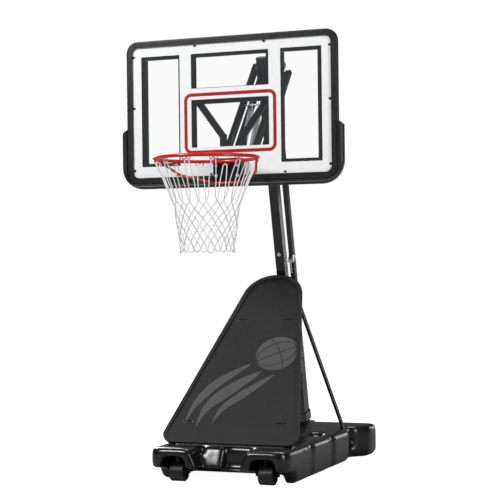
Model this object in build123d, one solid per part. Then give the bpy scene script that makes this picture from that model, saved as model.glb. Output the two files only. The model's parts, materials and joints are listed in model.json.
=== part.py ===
from build123d import *
import math
import os

# Portable basketball hoop: a tank on wheels, a leaning twin-tube mast, two pairs of
# parallel arms and a backboard with its rim and net.
# Millimetres, +Z up, the board faces -Y. The layout is drawn with y = 0 in the front
# face of the clear panel, then every part is moved by Y_SHIFT so that the origin is
# in the middle of the footprint, on the floor.

# ---- overall ---------------------------------------------------------------------
FRONT_REACH = 569.5          # rim's front edge, in front of the panel
BASE_REAR = 1130.5           # rear of the tank, behind the panel
Y_SHIFT = (FRONT_REACH - BASE_REAR) / 2

# ---- board -----------------------------------------------------------------------
BOARD_W = 1120.0
BOARD_TOP = 2197.0
TRIM_BOTTOM = 1472.0
BOARD_BOTTOM = 1448.0
TRIM_WIDTH = 33.0
TRIM_FRONT = -8.0
TRIM_BACK = 16.0
TRIM_RADIUS = 60.0
PANEL_T = 5.0
WINDOW_SIDE_IN = 268.0
WINDOW_SIDE_OUT = 479.0
WINDOW_TOP = 2117.0
WINDOW_SIDE_BOTTOM = 1560.0
WINDOW_MID = 206.0
WINDOW_UPPER_BOTTOM = 1943.0
WINDOW_LOWER_TOP = 1887.0
WINDOW_LOWER_BOTTOM = 1648.0
BACK_FRAME_DEPTH = 30.0
BACK_FRAME_WALL = 1.6
RAIL_HALF = 512.0
STAY_TOP_X = 206.0
PAD_OUT = 586.5
PAD_TOP = 1752.0
PAD_RADIUS = 112.0

# ---- rim and net -----------------------------------------------------------------
RIM_Z = 1570.0
RIM_Y = -313.5
RIM_R = 247.5
RIM_BAR = 8.5
RIM_BOLT_R = 4.0
HOOKS = 12
BRACE_Y = -52.2              # middle stretch of the lower bar, against the bracket
BRACE_Z = 1464.0
NET_TOP_R = 222.0
NET_KNOT_R = 158.0
NET_END_R = 134.0
NET_TOP_Z = 1554.0
NET_KNOT_Z = 1341.0
NET_END_Z = 1113.0
NET_T = 4.0

# ---- mast ------------------------------------------------------------------------
LEAN = 0.25                  # the mast moves this far forward for each unit of height
LEAN_DEG = math.degrees(math.atan(LEAN))
LOWER_POLE = 76.0
LOWER_POLE_WALL = 3.0
LOWER_POLE_Y0 = 1097.0       # axis at floor level
LOWER_POLE_TOP = 940.0
UPPER_POLE = 50.0
UPPER_POLE_WALL = 2.5
UPPER_POLE_Y0 = 1010.0
UPPER_POLE_TOP = 2136.0
UPPER_POLE_BOTTOM = 822.0
LIFT_TUBE_X = 25.0
LIFT_TUBE_D = 38.0
LIFT_TUBE_Y0 = 1197.0
LIFT_TUBE_BOTTOM = 905.0
PLATE_TOP = 940.0
PLATE_LOW = 802.0

# ---- arms ------------------------------------------------------------------------
ARM_HINGE = (582.0, 2113.0)  # y, z of the upper arms' pivot on the head plates
ARM_DROP = (27.0, -107.0)    # from an upper pivot to the lower one, at both ends
ARM_LENGTH = 690.0
ARM_ANGLE = 48.0             # degrees below the horizontal at rest
ARM_IN = 64.0
ARM_OUT = 86.0
ARM_DEPTH = 38.0
ARM_WALL = 2.0
LEVER = 102.0                # lower arms' rear lever, from pivot to lift pin
PIN_R = 6.0
FIT = 0.05                   # running clearance on the pins
SPRING_PIN_AT = 303.0        # along the upper arms from their hinge
SPRING_X = 23.0
SPRING_R = 15.0

# ---- base ------------------------------------------------------------------------
BASE_FRONT = -238.0
BASE_TOP = 172.0
BASE_HALF_FRONT = 359.0
BASE_HALF_REAR = 417.0
WHEEL_X = 232.0
WHEEL_Y = -150.0
WHEEL_R = 45.0
WHEEL_GAP = 1.5              # wheels hang just clear of the floor until it is tipped
POLE_RECESS_Z = 100.0
CAP_XY = (-120.0, 700.0)     # filling hole

# ---- cover and struts ------------------------------------------------------------
COVER_FOOT = (-88.0, 172.0)
COVER_HEAD = (708.0, 1005.0)
COVER_LENGTH = 1134.0
COVER_T = 6.0
COVER_FOOT_HALF = 370.0
COVER_HEAD_HALF = 137.0      # where the straight sides would meet the top
COVER_HEAD_RADIUS = 158.0
COVER_RIM = 22.0
STRUT_FOOT = (882.0, 88.0)   # y, z of the rear struts' foot bolts

os.makedirs("parts", exist_ok=True)


def save(name, shape):
    """Move one sub-part into the part's frame and write it."""
    solids = shape.solids() if hasattr(shape, "solids") else shape
    solid = solids[0] if len(solids) == 1 else Compound(children=list(solids))
    export_step(solid.moved(Location((0, Y_SHIFT, 0))), f"parts/{name}.step")


def group(shapes):
    """Separate solids kept as one sub-part."""
    solids = []
    for shape in shapes:
        solids.extend(shape.solids())
    return Compound(children=solids)


def box(x0, x1, y0, y1, z0, z1):
    """Box from its corner coordinates."""
    size = (abs(x1 - x0), abs(y1 - y0), abs(z1 - z0))
    return Pos((x0 + x1) / 2, (y0 + y1) / 2, (z0 + z1) / 2) * Box(*size)


def pin(y, z, x0, x1, radius):
    """Round bar along X."""
    length = x1 - x0
    return Pos((x0 + x1) / 2, y, z) * Rot(0, 90, 0) * Cylinder(radius, length)


def hex_head(y, z, x0, x1, across=18.0):
    """Hexagon along X, for bolt heads and nuts."""
    profile = Plane(origin=(x0, y, z), x_dir=(0, 1, 0), z_dir=(1, 0, 0))
    return prism(profile, RegularPolygon(across / 2, 6, major_radius=False), x1 - x0)


def bolt(y, z, reach, radius=PIN_R, head=6.0, across=18.0):
    """Cross bolt with a head and a nut outside +-reach."""
    shank = pin(y, z, -reach - head - 3, reach + head, radius)
    left = hex_head(y, z, -reach - head, -reach, across)
    right = hex_head(y, z, reach, reach + head, across)
    return shank + left + right


def prism(plane, sketch, length):
    """Sketch extruded along the plane's own normal, whichever way it was drawn."""
    return extrude(plane * sketch, length, dir=plane.z_dir)


def side_plate(points, x0, x1, holes=(), corner=8.0):
    """Flat plate in the YZ plane between x0 and x1, with round holes."""
    face = Plane(origin=(x0, 0, 0), x_dir=(0, 1, 0), z_dir=(1, 0, 0))
    outline = Polygon(*points, align=None)
    outline = fillet(outline.vertices(), corner)
    plate = prism(face, outline, x1 - x0)
    for y, z, radius in holes:
        plate -= pin(y, z, x0 - 1, x1 + 1, radius)
    return plate


def beam(p, q, width, depth, wall=0.0):
    """Rectangular tube from p to q; width is along X, both ends cut square."""
    p = Vector(*p)
    q = Vector(*q)
    length = (q - p).length
    plane = Plane(origin=p, x_dir=(1, 0, 0), z_dir=q - p)
    low = (Align.CENTER, Align.CENTER, Align.MIN)
    solid = plane * Box(width, depth, length, align=low)
    if wall:
        solid -= plane * Box(width - 2 * wall, depth - 2 * wall, length, align=low)
    return solid


def rod(p, q, radius, bore=0.0):
    """Round bar or tube from p to q."""
    p = Vector(*p)
    q = Vector(*q)
    plane = Plane(origin=p, z_dir=q - p)
    low = (Align.CENTER, Align.CENTER, Align.MIN)
    solid = plane * Cylinder(radius, (q - p).length, align=low)
    if bore:
        solid -= plane * Cylinder(bore, (q - p).length, align=low)
    return solid


def rounded_slab(half_x, z0, z1, y0, y1, radius):
    """Upright slab with rounded corners, symmetric in X."""
    face = Plane(origin=(0, y1, 0), x_dir=(1, 0, 0), z_dir=(0, -1, 0))
    sketch = Pos(0, (z0 + z1) / 2) * RectangleRounded(2 * half_x, z1 - z0, radius)
    return prism(face, sketch, y1 - y0)


def on_mast(axis_y0, z):
    """Point of a mast member's axis at height z."""
    return (0.0, axis_y0 - LEAN * z, z)


def along_arm(start, distance):
    """Point in the YZ plane this far down an arm at rest; negative is to the rear."""
    angle = math.radians(ARM_ANGLE)
    y = start[0] - distance * math.cos(angle)
    return (y, start[1] - distance * math.sin(angle))


LOWER_HINGE = (ARM_HINGE[0] + ARM_DROP[0], ARM_HINGE[1] + ARM_DROP[1])
UPPER_TIP = along_arm(ARM_HINGE, ARM_LENGTH)
LOWER_TIP = along_arm(LOWER_HINGE, ARM_LENGTH)
LIFT_PIN = along_arm(LOWER_HINGE, -LEVER)
SPRING_TOP = along_arm(ARM_HINGE, SPRING_PIN_AT)


# ---- base tank -------------------------------------------------------------------
def base_outline():
    """Plan of the tank: straight sides, a notch and a wider lobe at each rear corner."""
    right = [
        (BASE_HALF_FRONT, BASE_FRONT),
        (BASE_HALF_FRONT + 4, 770),
        (335, 815),
        (335, 905),
        (BASE_HALF_REAR - 6, 985),
        (BASE_HALF_REAR, BASE_REAR),
    ]
    left = [(-x, y) for x, y in reversed(right)]
    return right + left


def tank_outer():
    """Blow-moulded tank with rounded top edges."""
    sketch = Polygon(*base_outline(), align=None)
    corners = sketch.vertices().sort_by(Axis.Y)
    sketch = fillet(corners[:2], 58)
    corners = sketch.vertices().filter_by(lambda corner: corner.Y > 700)
    sketch = fillet(corners, 26)
    body = extrude(sketch, BASE_TOP)
    top_edges = body.edges().group_by(Axis.Z)[-1]
    body = fillet(top_edges, 20)
    low_edges = body.edges().group_by(Axis.Z)[0]
    return chamfer(low_edges, 20)


def tank_cuts():
    """Channel, wheel pockets, grooves, notches and recesses of the tank."""
    cuts = []
    channel = Plane(origin=(0, BASE_FRONT - 1, 0), x_dir=(1, 0, 0), z_dir=(0, 1, 0))
    profile = Polygon((-159, -190), (159, -190), (100, -62), (-100, -62), align=None)
    under = Plane(origin=(-500, 0, 0), x_dir=(0, 1, 0), z_dir=(1, 0, 0))
    slope = Polygon((-300, 50), (-158, 50), (-158, 64), (-104, 190), (-300, 190), align=None)
    front = prism(channel, profile, 150)
    cuts.append(front & prism(under, slope, 1000))
    for x0, x1 in ((-150, -116), (-60, -48), (-6, 150)):
        cuts.append(front & box(x0, x1, -200, -92, 64, 190))
    ramp = Polygon((-300, -1), (-82, -1), (-120, 62), (-300, 74), align=None)
    cuts.append(prism(under, ramp, 1000))
    belly = Plane(origin=(-292, 0, 0), x_dir=(0, 1, 0), z_dir=(1, 0, 0))
    cuts.append(prism(belly, Polygon((-130, -1), (205, -1), (-130, 52), align=None), 584))
    for side in (-1, 1):
        x = side * WHEEL_X
        pocket = box(x - 62, x + 62, BASE_FRONT - 1, WHEEL_Y + 62, -1, 128)
        pocket = fillet(pocket.edges().filter_by(Axis.Y), 24)
        cuts.append(pocket)
        outer = side * (BASE_HALF_FRONT + 4)
        for y in (141, 477):
            cuts.append(box(outer - side * 12, outer + side * 12, y - 36, y + 36, -1, 170))
        cuts.append(Pos(side * 345, 862, 160) * Cylinder(56, 116))
        hollow = Pos(side * 350, 882, 78) * Rot(0, 90, 0) * Cylinder(37, 100)
        cuts.append(hollow)
        recess = Pos(side * 245, 520, BASE_TOP) * Box(84, 190, 56)
        cuts.append(fillet(recess.edges().filter_by(Axis.Z), 40))
    low = BASE_HALF_FRONT - 70
    cuts.append(box(-low, low, 160, 330, -1, 14))
    cuts.append(box(-low, low, 480, 700, -1, 14))
    return cuts


def pole_socket():
    """Sloping pocket that takes the foot of the lower pole."""
    foot = on_mast(LOWER_POLE_Y0, POLE_RECESS_Z)
    head = on_mast(LOWER_POLE_Y0, BASE_TOP + 60)
    return beam(foot, head, LOWER_POLE + 1.0, LOWER_POLE + 1.0)


def tank_cavity(gap=0.0):
    """Space for the ballast; gap shrinks it to the ballast itself."""
    g = gap
    space = box(-330 + g, 330 - g, 120 + g, 985 - g, 22 + g, 150 - g)
    for side in (-1, 1):
        outer = side * 345
        space -= box(outer - side * (64 + g), outer, 760 - g, 990, 0, 160)
        for y in (141, 477):
            space -= box(outer - side * (24 + g), outer, y - 44 - g, y + 44 + g, 0, 160)
        space -= Pos(side * 245, 520, BASE_TOP) * Box(96 + 2 * g, 202 + 2 * g, 68 + 2 * g)
    return space


def base_tank():
    body = tank_outer()
    for cut in tank_cuts():
        body -= cut
    body -= pole_socket()
    body -= tank_cavity()
    for side in (-1, 1):
        for x in (side * (WHEEL_X - 53), side * (WHEEL_X + 53)):
            body += box(x - 8, x + 8, WHEEL_Y - 17, WHEEL_Y + 17, 32, 134)
            body -= pin(WHEEL_Y, WHEEL_GAP + WHEEL_R, x - 9, x + 9, PIN_R)
    body -= Pos(*CAP_XY, BASE_TOP) * Cylinder(24, 60)
    return max(body.solids(), key=lambda solid: solid.volume)


def fill_cap():
    """Screw cap of the filling hole, standing in its countersink."""
    stem = Pos(*CAP_XY, BASE_TOP - 4) * Cylinder(23.5, 12)
    lid = Pos(*CAP_XY, BASE_TOP + 4.7) * Cylinder(30, 9)
    grip = Pos(*CAP_XY, BASE_TOP + 14) * Box(44, 9, 11)
    return stem + lid + grip


def wheel(side):
    """Ribbed wheel with a bored hub."""
    z = WHEEL_GAP + WHEEL_R
    x = side * WHEEL_X
    body = pin(WHEEL_Y, z, x - 38, x + 38, WHEEL_R)
    body = fillet(body.edges().filter_by(GeomType.CIRCLE), 5)
    for face in (-1, 1):
        dish = pin(WHEEL_Y, z, x + face * 32 - 7, x + face * 32 + 7, WHEEL_R - 13)
        hub = pin(WHEEL_Y, z, x + face * 31 - 8, x + face * 31 + 8, 13)
        body = body - dish + hub
    return body - pin(WHEEL_Y, z, x - 45, x + 45, PIN_R + FIT)


def wheel_axles():
    z = WHEEL_GAP + WHEEL_R
    return group([pin(WHEEL_Y, z, s * WHEEL_X - 60, s * WHEEL_X + 60, PIN_R) for s in (-1, 1)])


# ---- mast ------------------------------------------------------------------------
def lower_pole():
    foot = on_mast(LOWER_POLE_Y0, POLE_RECESS_Z + 1)
    head = on_mast(LOWER_POLE_Y0, LOWER_POLE_TOP)
    return beam(foot, head, LOWER_POLE, LOWER_POLE, LOWER_POLE_WALL)


def pole_foot():
    """Steel collar bolted on the tank round the foot of the pole."""
    y = LOWER_POLE_Y0 - LEAN * (BASE_TOP + 20)
    ring = box(-62, 62, y - 66, y + 66, BASE_TOP, BASE_TOP + 5)
    ring = fillet(ring.edges().filter_by(Axis.Z), 10)
    lip = beam(on_mast(LOWER_POLE_Y0, BASE_TOP + 12), on_mast(LOWER_POLE_Y0, BASE_TOP + 62), 86, 86)
    hole = beam(on_mast(LOWER_POLE_Y0, 90), on_mast(LOWER_POLE_Y0, 300), 76.2, 76.2)
    return ring + lip - hole


def upper_pole():
    foot = on_mast(UPPER_POLE_Y0, UPPER_POLE_BOTTOM)
    head = on_mast(UPPER_POLE_Y0, UPPER_POLE_TOP)
    return beam(foot, head, UPPER_POLE, UPPER_POLE, UPPER_POLE_WALL)


def pole_cap():
    """Rounded plug in the open top of the upper pole."""
    start = on_mast(UPPER_POLE_Y0, UPPER_POLE_TOP)
    stop = on_mast(UPPER_POLE_Y0, UPPER_POLE_TOP + 14)
    skirt = on_mast(UPPER_POLE_Y0, UPPER_POLE_TOP - 22)
    lid = beam(start, stop, 53, 53)
    lid = fillet(lid.faces().sort_by(Axis.Z)[-1].edges(), 7)
    return lid + beam(skirt, start, 44.8, 44.8)


def mast_plate_outline():
    """Side plates that tie the upper pole to the lower pole."""
    front = UPPER_POLE_Y0 - 34
    rear = LOWER_POLE_Y0 + 42
    return [
        (front - LEAN * PLATE_LOW, PLATE_LOW),
        (rear - LEAN * PLATE_LOW, PLATE_LOW),
        (rear - LEAN * PLATE_TOP, PLATE_TOP),
        (front - LEAN * PLATE_TOP, PLATE_TOP),
    ]


def mast_plates():
    """Left and right mast plates."""
    outline = mast_plate_outline()
    holes = [(y, z, 5.0) for y, z in plate_bolt_points()]
    plates = []
    for side in (-1, 1):
        x = sorted((side * 38.1, side * 43.1))
        plates.append(side_plate(outline, x[0], x[1], holes))
    return group(plates)


def plate_bolt_points():
    """Bolts through the mast plates: two in each pole, the upper pole's first."""
    points = [(UPPER_POLE_Y0 - LEAN * z, z) for z in (836.0, 912.0)]
    return points + [(LOWER_POLE_Y0 - LEAN * z, z) for z in (830.0, 872.0)]


def mast_bolts():
    return group([bolt(y, z, 43.1, 4.95, 5, 15) for y, z in plate_bolt_points()])


def drilled(shape, points, reach=60.0, radius=5.0):
    """Shape with cross holes at the given y, z points."""
    for y, z in points:
        shape -= pin(y, z, -reach, reach, radius)
    return shape


def mast_spacers():
    """Sleeves that fill the width beside the upper pole."""
    sleeves = []
    for y, z in plate_bolt_points()[:2]:
        for side in (-1, 1):
            x = sorted((side * 25, side * 38.1))
            sleeves.append(pin(y, z, x[0], x[1], 9) - pin(y, z, x[0] - 1, x[1] + 1, 5))
    return group(sleeves)


def pole_lock_bolts():
    """Cross bolt and front bolt just above the cover, through the upper pole."""
    z = 1082.0
    y = UPPER_POLE_Y0 - LEAN * z
    cross = bolt(y, z, 25.0, 4.95, 5, 15)
    z = 1118.0
    centre = Vector(0, UPPER_POLE_Y0 - LEAN * z, z)
    ahead = Vector(0, -math.cos(math.radians(LEAN_DEG)), -math.sin(math.radians(LEAN_DEG)))
    front = rod(centre - ahead * 34, centre + ahead * 34, 4.95)
    front = front + rod(centre + ahead * 25, centre + ahead * 30, 10, 0)
    front = front + rod(centre - ahead * 30, centre - ahead * 25, 10, 0)
    return group([cross, front])


def lock_bolt_holes(shape):
    z = 1082.0
    shape -= pin(UPPER_POLE_Y0 - LEAN * z, z, -60, 60, 5)
    z = 1118.0
    centre = Vector(0, UPPER_POLE_Y0 - LEAN * z, z)
    ahead = Vector(0, -math.cos(math.radians(LEAN_DEG)), -math.sin(math.radians(LEAN_DEG)))
    return shape - rod(centre - ahead * 40, centre + ahead * 40, 5)


def head_plates():
    """Plates on both sides of the upper pole that carry the arms' pivots."""
    front = UPPER_POLE_Y0 - 22
    outline = [
        (front - LEAN * 2120, 2120),
        (front - LEAN * 1950, 1950),
        (front - LEAN * 1950 + 44, 1950),
        (LOWER_HINGE[0] + 10, LOWER_HINGE[1] - 30),
        (LOWER_HINGE[0] + 30, LOWER_HINGE[1] - 10),
        (ARM_HINGE[0] + 30, ARM_HINGE[1] + 8),
        (ARM_HINGE[0] + 8, ARM_HINGE[1] + 24),
    ]
    holes = [(y, z, PIN_R) for y, z in (ARM_HINGE, LOWER_HINGE)]
    holes += [(y, z, 5.0) for y, z in head_bolt_points()]
    plates = []
    for side in (-1, 1):
        x = sorted((side * 25.1, side * 30.1))
        plates.append(side_plate(outline, x[0], x[1], holes))
    return group(plates)


def head_bolt_points():
    return [(UPPER_POLE_Y0 - LEAN * z, z) for z in (1975.0, 2095.0)]


def head_bolts():
    return group([bolt(y, z, 30.1, 4.95, 5, 15) for y, z in head_bolt_points()])


def arm_hinge_bolts():
    """Hinge bolts of the arms; the upper one is long, with its thread showing."""
    upper = bolt(*ARM_HINGE, ARM_OUT + 0.4) + pin(*ARM_HINGE, -ARM_OUT - 18, -ARM_OUT, PIN_R)
    return group([upper, bolt(*LOWER_HINGE, ARM_OUT + 0.4)])


def arm_spacers():
    sleeves = []
    for y, z in (ARM_HINGE, LOWER_HINGE):
        for side in (-1, 1):
            x = sorted((side * 30.2, side * (ARM_IN - 0.4)))
            sleeves.append(pin(y, z, x[0], x[1], 11) - pin(y, z, x[0] - 1, x[1] + 1, PIN_R))
    return group(sleeves)


# ---- struts ----------------------------------------------------------------------
def rear_strut(side):
    """Round tube with flattened ends, from the mast plates to the tank's rear notch."""
    top = Vector(side * 56, 801, 902)
    foot = Vector(side * 316, 857, 128)
    tube = rod(top, foot, 11, 9)
    tab = rod(top + Vector(-side * 3, 0, 16), top + Vector(side * 5, 1.3, -30), 9)
    shoe = rod(foot + Vector(-side * 2, 0, 8), Vector(side * 330, 884, 84), 11)
    strut = tube + tab + shoe
    strut -= box(-43.3, 43.3, 700, 900, 850, 960)
    return strut - pin(STRUT_FOOT[0], STRUT_FOOT[1], -400, 400, 5.1)


def front_strut(side):
    """Round tube behind the cover, from the mast plates to the front of the tank."""
    top = Vector(side * 56, 763, 894)
    foot = Vector(side * 306, -42, BASE_TOP + 14)
    tube = rod(top, foot, 11, 9)
    pad = box(side * 306 - 20, side * 306 + 20, -66, -14, BASE_TOP + 0.1, BASE_TOP + 6)
    return tube + pad + Pos(*foot) * Sphere(13)


def strut_bolts():
    """Bolts at the feet of all four struts."""
    bolts = []
    for side in (-1, 1):
        x = sorted((side * 300, side * 345))
        y, z = STRUT_FOOT
        rear = pin(y, z, x[0], x[1], 5) + hex_head(y, z, side * 345 - 3, side * 345 + 3, 15)
        bolts.append(rear)
        foot = Pos(side * 306, -60, BASE_TOP + 9.2) * Cylinder(5.5, 6)
        bolts.append(foot)
    return group(bolts)


# ---- cover -----------------------------------------------------------------------
def cover_plane(offset=0.0):
    """Plane of the cover: X is across, Y runs up the slope, Z points to the front."""
    dy = COVER_HEAD[0] - COVER_FOOT[0]
    dz = COVER_HEAD[1] - COVER_FOOT[1]
    length = math.hypot(dy, dz)
    up = Vector(0, dy / length, dz / length)
    normal = Vector(0, -dz / length, dy / length)
    origin = Vector(0, COVER_FOOT[0], COVER_FOOT[1]) + normal * offset
    return Plane(origin=origin, x_dir=(1, 0, 0), z_dir=normal)


def cover_sketch(inset=0.0):
    """Outline of the cover: wide foot, straight sides that run into a round head."""
    foot = COVER_FOOT_HALF - inset
    head = COVER_HEAD_HALF - inset * 0.9
    low = inset + 6
    top = COVER_LENGTH - inset
    outline = Polygon((-foot, low), (foot, low), (head, top), (-head, top), align=None)
    corners = outline.vertices().sort_by(Axis.Y)
    outline = fillet(corners[2:], COVER_HEAD_RADIUS - inset)
    corners = outline.vertices().sort_by(Axis.Y)[:2]
    return fillet(corners, 58 - inset * 0.6)


def front_cover():
    """Flat moulded panel with a raised border and four strap slots."""
    plane = cover_plane()
    panel = prism(plane, cover_sketch(), COVER_T)
    border = prism(plane, cover_sketch() - cover_sketch(COVER_RIM), COVER_T + 7)
    cover = panel + border
    for x, s in slot_points():
        cover -= plane * Pos(x, s, 0) * Box(52, 9, 60)
    return cover


def slot_points():
    points = []
    for side in (-1, 1):
        points.append((side * 128, 818))
        points.append((side * 248, 142))
    return points


def cover_straps():
    """Webbing loops that run from the slots back round the front struts."""
    plane = cover_plane()
    straps = []
    for x, s in slot_points():
        tongue = Pos(x, s, -18) * Box(46, 4, 44)
        straps.append(plane * tongue)
    return group(straps)


# ---- arms ------------------------------------------------------------------------
def arm(start, length, rear, side, holes):
    """Flat tube with rounded ends beside the mast."""
    head = along_arm(start, -rear)
    tip = along_arm(start, length)
    x = side * (ARM_IN + ARM_OUT) / 2
    width = ARM_OUT - ARM_IN
    p = (x, head[0], head[1])
    q = (x, tip[0], tip[1])
    low = x - width / 2
    high = x + width / 2
    body = beam(p, q, width, ARM_DEPTH)
    for y, z in (head, tip):
        body += pin(y, z, low, high, ARM_DEPTH / 2)
    inner = along_arm(start, -rear + 30)
    outer = along_arm(start, length - 30)
    core = width - 2 * ARM_WALL
    body -= beam((x, *inner), (x, *outer), core, ARM_DEPTH - 2 * ARM_WALL)
    for y, z, radius in holes:
        body -= pin(y, z, low - 1, high + 1, radius)
    return body


def upper_arm(side):
    holes = [
        (*ARM_HINGE, PIN_R + FIT),
        (*UPPER_TIP, PIN_R + FIT),
        (*SPRING_TOP, 5.0),
    ]
    return arm(ARM_HINGE, ARM_LENGTH, 0, side, holes)


def lower_arm(side):
    holes = [
        (*LOWER_HINGE, PIN_R + FIT),
        (*LOWER_TIP, PIN_R + FIT),
        (*LIFT_PIN, PIN_R),
    ]
    return arm(LOWER_HINGE, ARM_LENGTH, LEVER, side, holes)


def spring_pin():
    """Cross bar between the upper arms that anchors both springs."""
    return bolt(*SPRING_TOP, ARM_OUT, 4.95, 5, 15)


def springs():
    """Envelope of the two balance springs, from the cross bar to the lower board pivot."""
    coils = []
    start = Vector(0, *SPRING_TOP)
    stop = Vector(0, *LOWER_TIP)
    step = (stop - start).normalized()
    for side in (-1, 1):
        x = Vector(side * SPRING_X, 0, 0)
        coil = rod(start + step * 24 + x, stop - step * 24 + x, SPRING_R, SPRING_R - 5)
        top = rod(start + step * 7.5 + x, start + step * 34 + x, 2.5)
        low = rod(stop - step * 34 + x, stop - step * 8.5 + x, 2.5)
        for hook, at in ((top, 26), (low, -26)):
            base = (start if at > 0 else stop) + step * at + x
            hook += Plane(origin=base, z_dir=step) * Box(24, 6, 5)
            coil = coil + hook
        coils.append(coil)
    return group(coils)


# ---- lift tube -------------------------------------------------------------------
def lift_tube():
    """Rear tube, pinned to the lower arms' levers; pulling it down raises the board."""
    foot = on_mast(LIFT_TUBE_Y0, LIFT_TUBE_BOTTOM)
    head = (0.0, LIFT_PIN[0], LIFT_PIN[1])
    tube = beam(foot, head, LIFT_TUBE_X, LIFT_TUBE_D, 2.0)
    tube += pin(*LIFT_PIN, -LIFT_TUBE_X / 2, LIFT_TUBE_X / 2, LIFT_TUBE_D / 2)
    tube -= pin(*LIFT_PIN, -30, 30, PIN_R + FIT)
    y, z = trigger_point()
    return tube - pin(y, z, -30, 30, 4.0)


def lift_pin():
    """Pin between the two levers, with a sleeve on each side of the lift tube."""
    shank = bolt(*LIFT_PIN, ARM_OUT)
    for side in (-1, 1):
        x = sorted((side * 13.0, side * ARM_IN))
        shank += pin(*LIFT_PIN, x[0], x[1], 10)
    return shank


def trigger_point():
    z = 1096.0
    return (LIFT_TUBE_Y0 - LEAN * z - 12, z)


def trigger_pin():
    y, z = trigger_point()
    return bolt(y, z, 17.0, 3.95, 4, 12)


def trigger_lever():
    """Bright sheet-metal lever on the lift tube that frees the height lock."""
    y, z = trigger_point()
    cheeks = []
    outline = [(y - 13, z + 12), (y + 9, z + 12), (y + 9, z - 10), (y - 8, z - 22), (y - 22, z - 22)]
    for side in (-1, 1):
        x = sorted((side * 12.9, side * 15.4))
        cheeks.append(side_plate(outline, x[0], x[1], [(y, z, 3.95 + FIT)], 3))
    web = [(y - 22, z - 10), (y - 18.5, z - 10), (y - 14, z - 50), (y - 6, z - 84)]
    web += [(y - 9.5, z - 86), (y - 18, z - 52)]
    face = Plane(origin=(-15.4, 0, 0), x_dir=(0, 1, 0), z_dir=(1, 0, 0))
    blade = prism(face, Polygon(*web, align=None), 30.8)
    for x in ((-16, -5), (5, 16)):
        blade -= box(*x, y - 40, y + 20, z - 90, z - 28)
    return blade + cheeks[0] + cheeks[1]


def lift_grip():
    """Rubber hand grip on the lower end of the lift tube."""
    low = on_mast(LIFT_TUBE_Y0, LIFT_TUBE_BOTTOM - 58)
    high = on_mast(LIFT_TUBE_Y0, LIFT_TUBE_BOTTOM - 0.2)
    return beam(low, high, 29, 42)


# ---- board -----------------------------------------------------------------------
def backboard_panel():
    return rounded_slab(BOARD_W / 2 - 12, TRIM_BOTTOM + 12, BOARD_TOP - 12, 0, PANEL_T, 46)


def board_frame():
    """Moulded edge trim with a groove for the panel."""
    half = BOARD_W / 2
    outer = rounded_slab(half, TRIM_BOTTOM, BOARD_TOP, TRIM_FRONT, TRIM_BACK, TRIM_RADIUS)
    outer = fillet(outer.faces().sort_by(Axis.Y)[0].outer_wire().edges(), 7)
    w = TRIM_WIDTH
    opening = rounded_slab(half - w, TRIM_BOTTOM + w, BOARD_TOP - w, -30, 40, TRIM_RADIUS - w + 4)
    groove = rounded_slab(half - 11.7, TRIM_BOTTOM + 11.7, BOARD_TOP - 11.7, -0.1, 5.1, 46.3)
    return outer - opening - groove


def bottom_pad():
    """Soft guard round the lower corners and the bottom edge."""
    outer = rounded_slab(PAD_OUT, BOARD_BOTTOM, PAD_TOP + 300, -16, 24, PAD_RADIUS)
    outer = fillet(outer.faces().sort_by(Axis.Y)[0].edges(), 9)
    half = BOARD_W / 2 + 0.2
    core = rounded_slab(half, TRIM_BOTTOM - 0.2, BOARD_TOP + 200, TRIM_FRONT - 20, TRIM_BACK + 20, TRIM_RADIUS)
    pad = outer - core
    for side in (-1, 1):
        corner = [(side * 480, PAD_TOP + 400), (side * 700, PAD_TOP + 400)]
        corner += [(side * 700, PAD_TOP - 30), (side * 480, PAD_TOP + 12)]
        face = Plane(origin=(0, 60, 0), x_dir=(1, 0, 0), z_dir=(0, -1, 0))
        pad -= prism(face, Polygon(*corner, align=None), 120)
    pad -= box(-700, 700, -60, 80, PAD_TOP + 60, 2600)
    return pad


def board_screws():
    """Screws that hold the trim and panel to the steel back frame."""
    spots = [(184, 2157), (520, 2118), (520, 1858), (520, 1543), (288, 1513), (104, 1513)]
    screws = []
    for x, z in spots:
        for side in (-1, 1):
            head = Pos(side * x, -1.5, z) * Rot(90, 0, 0) * Cylinder(6, 2.9)
            screws.append(head)
    return group(screws)


def steel_tube(x, z, along):
    """Rectangular tube of the back frame; its bore runs along the X or Z axis."""
    y0 = PANEL_T + 0.1
    y1 = y0 + BACK_FRAME_DEPTH
    w = BACK_FRAME_WALL
    body = box(x[0], x[1], y0, y1, z[0], z[1])
    if along == "x":
        return body - box(x[0] - 1, x[1] + 1, y0 + w, y1 - w, z[0] + w, z[1] - w)
    return body - box(x[0] + w, x[1] - w, y0 + w, y1 - w, z[0] - 1, z[1] + 1)


def back_rails():
    """Top and bottom rails of the steel back frame."""
    low_z, high_z = upright_span()
    top = steel_tube((-RAIL_HALF, RAIL_HALF), (high_z + 0.1, BOARD_TOP - 39), "x")
    low = steel_tube((-RAIL_HALF, RAIL_HALF), (TRIM_BOTTOM + 39, low_z - 0.1), "x")
    return group([top, low])


def upright_span():
    """Heights between the two rails."""
    return (WINDOW_SIDE_BOTTOM + 16.1, WINDOW_TOP - 15.1)


def back_sides():
    """Outer side members of the steel back frame."""
    parts = []
    for side in (-1, 1):
        x = sorted((side * (WINDOW_SIDE_OUT - 22), side * 525))
        parts.append(steel_tube(x, upright_span(), "z"))
    return group(parts)


def back_uprights():
    """Inner uprights of the steel back frame, beside the middle windows."""
    parts = []
    for side in (-1, 1):
        x = sorted((side * (WINDOW_MID - 15), side * (WINDOW_SIDE_IN + 9)))
        parts.append(steel_tube(x, upright_span(), "z"))
    return group(parts)


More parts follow.
